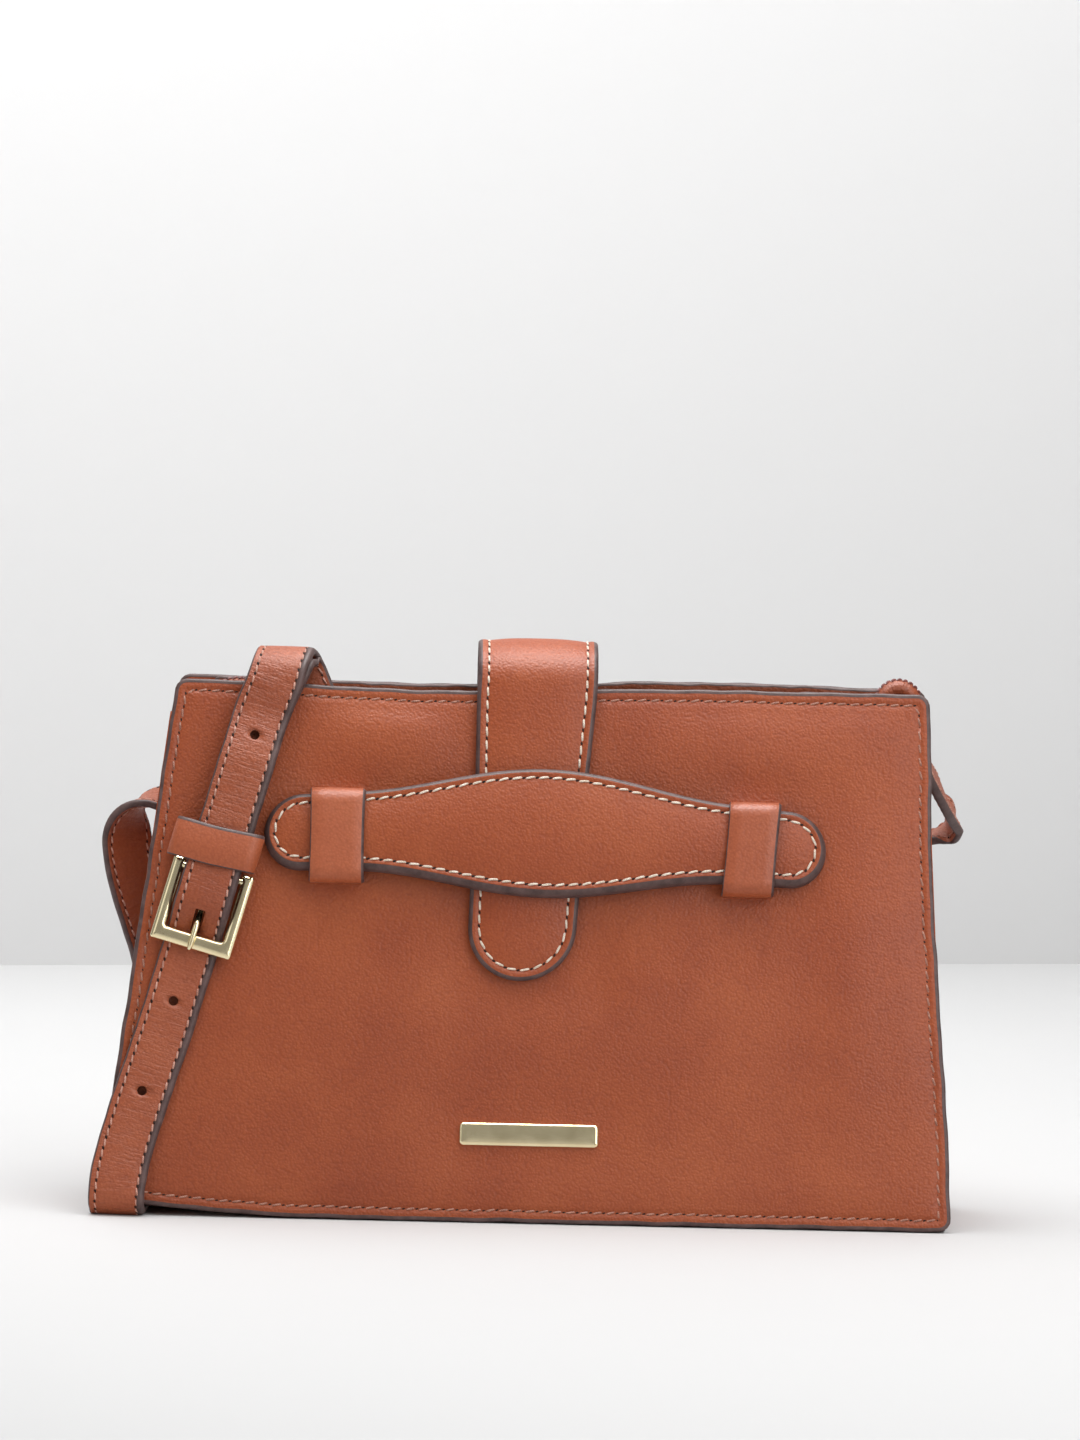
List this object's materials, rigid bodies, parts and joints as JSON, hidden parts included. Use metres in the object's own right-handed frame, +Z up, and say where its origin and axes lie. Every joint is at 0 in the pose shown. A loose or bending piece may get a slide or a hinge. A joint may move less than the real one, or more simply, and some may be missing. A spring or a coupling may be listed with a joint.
{
  "type": "sling bag",
  "caption": "Small structured leather sling bag with a grip band on the front, a tab closure tucked under it, and a long buckled strap.",
  "frame": {"origin": "middle of the base panel's underside, on the floor", "axes": "+X to the right as seen from the front, +Y to the back, +Z up"},
  "size_m": [0.2558, 0.0721, 0.1726],
  "materials": {
    "tan_leather": "smooth cognac leather with a fine grain, soft sheen and painted grey-brown edges",
    "lining_cloth": "plain woven lining",
    "fibre_board": "pressed fibre board",
    "foam_filler": "thin foam and felt",
    "brass": "pale antique brass, lightly worn"
  },
  "bodies": {
    "bag": {"front_panel": "tan_leather", "back_panel": "tan_leather", "base_panel": "tan_leather", "gusset_left": "tan_leather", "gusset_right": "tan_leather", "front_facing": "tan_leather", "back_facing": "tan_leather", "front_stiffener": "fibre_board", "back_stiffener": "fibre_board", "base_board": "fibre_board", "lining_front": "lining_cloth", "lining_back": "lining_cloth", "lining_base": "lining_cloth", "slip_pocket": "lining_cloth", "band_keeper_left": "tan_leather", "band_keeper_right": "tan_leather", "closure_tab_root": "tan_leather", "trim_bar": "brass", "trim_bar_washers": "brass", "strap_short": "tan_leather", "strap_long": "tan_leather", "strap_root_left": "tan_leather", "strap_root_right": "tan_leather", "buckle_frame": "brass"},
    "closure_tab": {"closure_tab_backing": "tan_leather", "closure_tab_filler": "foam_filler", "closure_tab_face": "tan_leather"},
    "grip_band": {"grip_band_backing": "tan_leather", "grip_band_filler": "foam_filler", "grip_band_face": "tan_leather"},
    "keeper_loop": {"strap_keeper": "tan_leather"},
    "prong": {"buckle_prong": "brass"}
  },
  "joints": [
    {"name": "tab_pull", "type": "slide", "parent": "bag", "child": "closure_tab", "axis": [0, 0.1209, 0.9927], "range_m": [0, 0.062]},
    {"name": "band_shift", "type": "slide", "parent": "bag", "child": "grip_band", "axis": [1, 0, 0], "range_m": [0, 0.0025]},
    {"name": "keeper_slide", "type": "slide", "parent": "bag", "child": "keeper_loop", "axis": [0.2706, 0.1164, 0.9556], "range_m": [0, 0.016]},
    {"name": "prong_swing", "type": "hinge", "parent": "bag", "child": "prong", "pos_m": [-0.09237, -0.02308, 0.09976], "axis": [-0.9627, 0.0327, 0.2686], "range_deg": [0, 2]}
  ]
}
